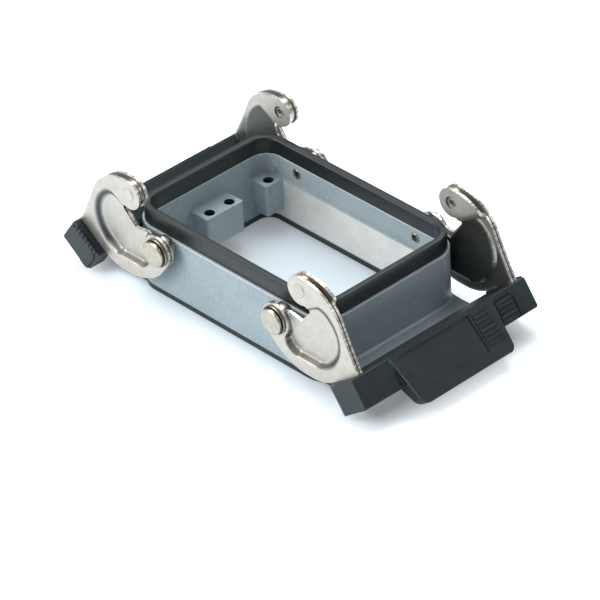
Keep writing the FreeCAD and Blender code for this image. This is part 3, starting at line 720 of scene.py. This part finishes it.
def panel_depth(points, upper=0.6, lower=2.2, upper_w=10.0, lower_w=-8.6):
    """The panel gets evenly deeper from its upper edge towards the belly, within 0.3 and 3 mm."""
    return np.clip(upper + (upper_w - points[:, 1]) * (lower - upper) / (upper_w - lower_w), 0.3, 3.0)


def neck_press(points, step=1.6):
    """The neck's floor lies one step inwards, and its wall runs across the neck's edge."""
    return step * smooth_step(inside_by(points, neck_edge), -0.75, 0.65)


def wall_shade(pressing):
    """Painted shade on a press wall: 1 in its middle and 0 on flat metal: four times t (1 - t),
    where t is how far the smooth step has gone, sharpened by its square root."""
    return np.sqrt(np.clip(4 * pressing * (1 - pressing), 0, 1))


def outer_shade(points, share):
    """Painted shade on the outer sheet: on its press wall, but less along the belly."""
    belly = 1 - smooth_step(points[:, 1], -8.0, -5.0)
    return wall_shade(share) * (1 - 0.4 * belly)


def inner_shade(points, share):
    """Painted shade on the inner sheet, as shade and a painted reflection of the dark handles. Its
    panel is dark all over. Below the neck it is dark too, but for its edge and the panel's wall."""
    below_neck = 1 - smooth_step(points[:, 1], 3.0, 9.0)
    off_edge = smooth_step(inside_by(points, inner_edge), 0.2, 0.9)
    off_panel = 1 - smooth_step(share, 0.0, 0.2)
    return np.maximum(smooth_step(share, 0.6, 1.0) * 0.9, below_neck * off_edge * off_panel * 0.75)


# %% [markdown]
# Sheets from the blanks
#
# Solidify gives a pressed blank its thickness and the rim its own finish, and Bevel breaks the
# sheared edge. One blank serves all four corners of the housing.


# %% Pressed sheets
sheet_thickness, broken_edge = 1.0, 0.14


def pressed_sheet(node, blank, face, inwards, painted_shade, sx, sy):
    """Sheet whose outer face lies at y = face minus the pressing: (u, w) of the blank become x
    and z from the pivot, and y is the same smooth function of them for every arm."""
    flat, triangles = blank
    points = np.stack([pivot_x + flat[:, 0], face - inwards, pivot_z + flat[:, 1]], axis=1)
    a, b, c = (points[triangles[:, i]] for i in range(3))
    outward = np.cross(b - a, c - a)[:, 1] > 0
    faces = np.where(outward[:, None], triangles, triangles[:, ::-1])
    piece = make_piece(node, points, faces, sx, sy, painted_shade=painted_shade)
    sheet = piece.modifiers.new("sheet", "SOLIDIFY")
    sheet.thickness = sheet_thickness * MM
    sheet.offset = -1
    sheet.use_even_offset = True
    piece.data.materials.append(sheared_edge)
    sheet.material_offset_rim = 1
    edge_break = piece.modifiers.new("edge_break", "BEVEL")
    edge_break.width = broken_edge * MM
    edge_break.segments = 2
    edge_break.limit_method = "ANGLE"
    edge_break.angle_limit = math.radians(55)
    edge_break.harden_normals = True
    return piece


outer_share = panel_share(outer_blank[0], far_width=2.8)
outer_press = outer_share * panel_depth(outer_blank[0])
# Painted shade on the outer sheet's press wall.
outer_painted_shade = outer_shade(outer_blank[0], outer_share)
inner_share = panel_share(inner_blank[0], far_width=near_width)
inner_press = np.maximum(inner_share * panel_depth(inner_blank[0]), neck_press(inner_blank[0]))
# Painted shade, and a painted reflection of the handles, on the inner sheet.
inner_painted_shade = inner_shade(inner_blank[0], inner_share)
inner_face = arm_face - sheet_thickness
for corner, (sx, sy) in corners.items():
    pressed_sheet(corner + "_outer_plate", outer_blank, arm_face, outer_press, outer_painted_shade, sx, sy)
    pressed_sheet(corner + "_inner_plate", inner_blank, inner_face, inner_press, inner_painted_shade, sx, sy)
print("Pressed sheets:", 2 * len(corners), "deepest pressing in mm:", round(float(outer_press.max()), 2))

# %% [markdown]
# Gaskets
#
# A gasket is one profile carried round a rounded rectangle. A profile point is (distance outwards
# from the path, height). Round a corner that distance simply adds to the corner's radius, so the
# whole ring is one formula. The rim gasket sits astride the tongue on top of the wall. Its top
# edges are eased, which gives the thin pale lines along it.


# %% Rings
def ring(node, half_x, half_y, radius, profile, arc_steps=12, ease=0.22):
    """Closed ring: corner centre plus (radius + outward distance) times (cos a, sin a), with the
    angle a running a quarter turn at each of the four corners, and each profile point's height."""
    profile = eased(np.concatenate([profile[-1:], profile, profile[:1]]), ease)[1:-1]
    quarter = np.linspace(0, math.pi / 2, arc_steps)
    angle = np.concatenate([quarter + i * math.pi / 2 for i in range(4)])
    signs = np.repeat([(1, 1), (-1, 1), (-1, -1), (1, -1)], arc_steps, axis=0)
    centre = signs * (half_x - radius, half_y - radius)
    reach = radius + profile[:, 0][None, :]
    points = np.stack([
        centre[:, 0][:, None] + reach * np.cos(angle)[:, None],
        centre[:, 1][:, None] + reach * np.sin(angle)[:, None],
        np.broadcast_to(profile[:, 1][None, :], (len(angle), len(profile))),
    ], axis=-1)
    faces = grid_faces(len(angle), len(profile), True, True)
    return make_piece(node, points, faces, weld=0.001)


half_length, half_width, wall_corner = 41.3, 27.6, 8.7
rim_low, rim_high, tongue_high = 22.2, 27.6, 26.02
rim_profile = np.array([
    (-0.65, rim_low), (-0.65, rim_high - 0.6), (-0.85, rim_high), (-2.6, rim_high), (-3.15, rim_high - 0.5),
    (-3.15, rim_low), (-2.57, rim_low), (-2.57, tongue_high), (-1.43, tongue_high), (-1.43, rim_low),
])
ring("rim_gasket", half_length, half_width, wall_corner, rim_profile)
print("Rim gasket corner radius at its outer edge:", round(wall_corner + rim_profile[0, 0], 2))

# %% [markdown]
# Copies with broken edges
#
# The housing, the flange gasket and the handles have the right form in the CAD model, but their
# edges are knife sharp, as no casting or moulding is. Each gets a copy: its loose triangles are
# joined, flat neighbours become one face, and a Bevel rounds the sharp edges that have room for
# it. Weighted normals then keep the flat faces flat to the eye.


# %% Edge broken copies
def read_all(items, name, kind=float, width=1):
    """One property of all vertices, edges, loops or faces of a mesh, as an array."""
    values = np.empty(len(items) * width, kind)
    items.foreach_get(name, values)
    return values.reshape(-1, width) if width > 1 else values


def edge_rooms(mesh):
    """For each edge: how much the surface turns there, and the width of the narrower face beside
    it. The turn is twice the arc cosine of half the length of the two normals' sum, and a face's
    width is twice its area over its perimeter."""
    spots = read_all(mesh.vertices, "co", width=3)
    ends = read_all(mesh.edges, "vertices", int, 2)
    length = np.linalg.norm(spots[ends[:, 0]] - spots[ends[:, 1]], axis=1)
    edge_of = read_all(mesh.loops, "edge_index", int)
    face_of = np.repeat(np.arange(len(mesh.polygons)), read_all(mesh.polygons, "loop_total", int))
    perimeter = np.bincount(face_of, length[edge_of])
    slim = 2 * read_all(mesh.polygons, "area") / perimeter
    room = np.full(len(ends), np.inf)
    np.minimum.at(room, edge_of, slim[face_of])
    normal_sum = np.zeros((len(ends), 3))
    np.add.at(normal_sum, edge_of, read_all(mesh.polygons, "normal", width=3)[face_of])
    turn = 2 * np.arccos(np.clip(np.linalg.norm(normal_sum, axis=1) / 2, 0, 1))
    return turn, room / MM


weld_distance, flat_angle, share_of_face = 0.002, 0.5, 0.3


def softened(node, width, edge_finish=None, segments=3, angle=32):
    """Copy of a CAD node, welded, with flat regions dissolved and its sharp edges rounded. An edge
    is left sharp where the rounding would take too large a share of the narrower face beside it."""
    mesh = frame["nodes"][node].data.copy()
    mesh.name = node + "_skin"
    shape = bmesh.new()
    shape.from_mesh(mesh)
    bmesh.ops.remove_doubles(shape, verts=shape.verts, dist=weld_distance * MM)
    bmesh.ops.dissolve_limit(shape, angle_limit=math.radians(flat_angle), verts=shape.verts,
                             edges=shape.edges, use_dissolve_boundaries=False)
    shape.to_mesh(mesh)
    shape.free()
    turn, room = edge_rooms(mesh)
    wide = (turn > math.radians(angle)) & (share_of_face * room > width)
    mesh.attributes.new("bevel_weight_edge", "FLOAT", "EDGE").data.foreach_set("value", wide.astype(float))
    mesh.polygons.foreach_set("use_smooth", np.ones(len(mesh.polygons), bool))
    mesh.set_sharp_from_angle(angle=math.radians(angle))
    piece = dress(bpy.data.objects.new(node + "_skin", mesh), node)
    rounding = piece.modifiers.new("rounding", "BEVEL")
    rounding.width = width * MM
    rounding.segments = segments
    rounding.limit_method = "WEIGHT"
    rounding.use_clamp_overlap = False
    rounding.material = 0
    if edge_finish:
        piece.data.materials.append(edge_finish)
        rounding.material = 1
    flat_faces = piece.modifiers.new("flat_faces", "WEIGHTED_NORMAL")
    flat_faces.keep_sharp = True
    print(node, "copy:", len(mesh.vertices), "points,", len(mesh.polygons), "faces,",
          int(wide.sum()), "rounded edges")
    return piece


housing = softened("housing", 0.35)
softened("flange_gasket", 0.15)
softened("right_handle", 0.4, nylon_edge_highlight)
softened("left_handle", 0.4, nylon_edge_highlight)

# %% [markdown]
# Tapped bores
#
# The bores for the insert screws are tapped after spraying. They are painted dark as the shade
# inside them, and bands of height stand for the thread.

# %% Bore finish
tapped_bore, tree, shader, place = new_finish("tapped_bore_painted_shade", Metallic=0.3, Roughness=0.45)
thread_pitch, waves_per_unit = 0.7, 20
thread = add(tree, "TexWave", {"Vector": place, "Scale": per_metre(thread_pitch) / waves_per_unit},
             bands_direction="Z")
# Painted shade: the bores are dark all over.
link(tree, shader, Base_Color=two_tones(tree, thread.outputs["Fac"], "#1a232c", "#3c4a57"))

# %% [markdown]
# Masked walls and bores
#
# The two long walls of the opening are bare below the seat of the inserts. Their faces and those
# of the bores are found by where their middle lies and which way they look, as whole arrays.

# %% Masked walls and bores
seat_z, wall_near, wall_far = 15.5, 23.0, 24.5
bore_x, bore_ys, bore_reach = 33.0, np.array([4.0, 20.0]), 1.8
faces = housing.data.polygons
middles = np.abs(read_all(faces, "center", width=3)) / MM
directions = np.abs(read_all(faces, "normal", width=3))
on_wall = (middles[:, 1] > wall_near) & (middles[:, 1] < wall_far) & (directions[:, 1] > 0.8)
masked = on_wall & (middles[:, 2] < seat_z - 0.1)
from_bore = np.hypot(middles[:, :1] - bore_x, middles[:, 1:2] - bore_ys).min(axis=1)
bores = (from_bore < bore_reach) & (directions[:, 2] < 0.3)
housing.data.materials.append(bare_casting)
housing.data.materials.append(tapped_bore)
faces.foreach_set("material_index", np.where(bores, 2, np.where(masked, 1, 0)))
print("Masked faces:", int(masked.sum()), "bore faces:", int(bores.sum()))

# %% [markdown]
# Floor
#
# A product picture is taken on a white sweep. The floor is white paper that keeps the soft shadow.
# Camera, glossy and transmission rays also see a painted glow, which is weak under the object, so
# that the paper in its opening keeps a pale blue as in shade, and grows to white round its
# footprint. The distance from the footprint is the length of what |x| and |y| exceed its half
# sizes by.

# %% Floor
half_floor, below_gasket = 2.0, 0.0003
floor_points = np.stack(np.meshgrid([-1, 1], [-1, 1]), axis=-1).reshape(-1, 2) * half_floor
floor_mesh = bpy.data.meshes.new("floor")
floor_mesh.from_pydata([(x, y, -below_gasket) for x, y in floor_points.tolist()], [], [(0, 1, 3, 2)])
floor = bpy.data.objects.new("floor", floor_mesh)
bpy.context.scene.collection.objects.link(floor)
paper, tree, shader, place = new_finish("white_paper_sweep", Roughness=0.9, Specular_IOR_Level=0.1)
shader.inputs["Base Color"].default_value = linear("#cedce4")
rays = add(tree, "LightPath").outputs
seen = maths(tree, "ADD", rays["Is Camera Ray"], rays["Is Glossy Ray"])
seen = maths(tree, "ADD", seen, rays["Is Transmission Ray"])
foot_corner, glow_width = (60 * MM, 26 * MM, 0), 14 * MM
past_foot = add(tree, "VectorMath", {0: place}, operation="ABSOLUTE").outputs["Vector"]
past_foot = add(tree, "VectorMath", {0: past_foot, 1: foot_corner}, operation="SUBTRACT").outputs["Vector"]
past_foot = add(tree, "VectorMath", {0: past_foot, 1: (0, 0, 0)}, operation="MAXIMUM").outputs["Vector"]
past_foot = add(tree, "VectorMath", {0: past_foot}, operation="LENGTH").outputs["Value"]
# Painted glow: weak under the object, white away from it.
glow = maths(tree, "MULTIPLY", seen, spread(tree, past_foot, 0.17, 0.75, end=glow_width))
shader.inputs["Emission Color"].default_value = (1, 1, 1, 1)
link(tree, shader, Emission_Strength=glow)
floor_mesh.materials.append(paper)
print("Floor width in m:", 2 * half_floor)

# %% [markdown]
# Light
#
# A large soft key lamp stands at the front, left of the camera, so the long near wall is bright and
# the end wall falls into shade. A second one hangs high behind the object and lights what looks up.
# A small one on the right draws a thin edge. The world is a room with its bright side on the left,
# and plain white where the camera sees it.


# %% Lamps and world
def lamp(name, place, size, power, aim=(0, 0, 0.015)):
    """Square area lamp that looks at the object: its -Z axis is turned along the way to it."""
    data = bpy.data.lights.new(name, "AREA")
    data.size = size
    data.energy = power
    made = bpy.data.objects.new(name, data)
    way = Vector(aim) - Vector(place)
    made.matrix_world = Matrix.Translation(Vector(place)) @ way.to_track_quat("-Z", "Y").to_matrix().to_4x4()
    bpy.context.scene.collection.objects.link(made)
    return made


lamp("key", (-0.67, -1.24, 0.85), 1.1, 18.5)
lamp("top", (-0.45, 0.45, 1.3), 0.9, 14.0)
lamp("rim", (0.85, 0.8, 0.8), 0.45, 1.8)
world = bpy.data.worlds.new("studio")
bpy.context.scene.world = world
world.use_nodes = True
tree = world.node_tree
rays = add(tree, "LightPath").outputs
seen = maths(tree, "ADD", rays["Is Camera Ray"], rays["Is Transmission Ray"])
side = add(tree, "SeparateXYZ", {"Vector": add(tree, "TexCoord").outputs["Generated"]}).outputs
room = spread(tree, maths(tree, "ADD", side["X"], side["Y"]), 0.62, 0.24, -0.9, 0.9)
strength = add(tree, "Mix", {0: seen, 2: room, 3: 1.0})
background = tree.nodes["Background"]
background.inputs["Color"].default_value = linear("#f2f7ff")
tree.links.new(strength.outputs[0], background.inputs["Strength"])
bpy.context.scene.view_settings.view_transform = "Standard"
print("Lamps:", len(bpy.data.lights))
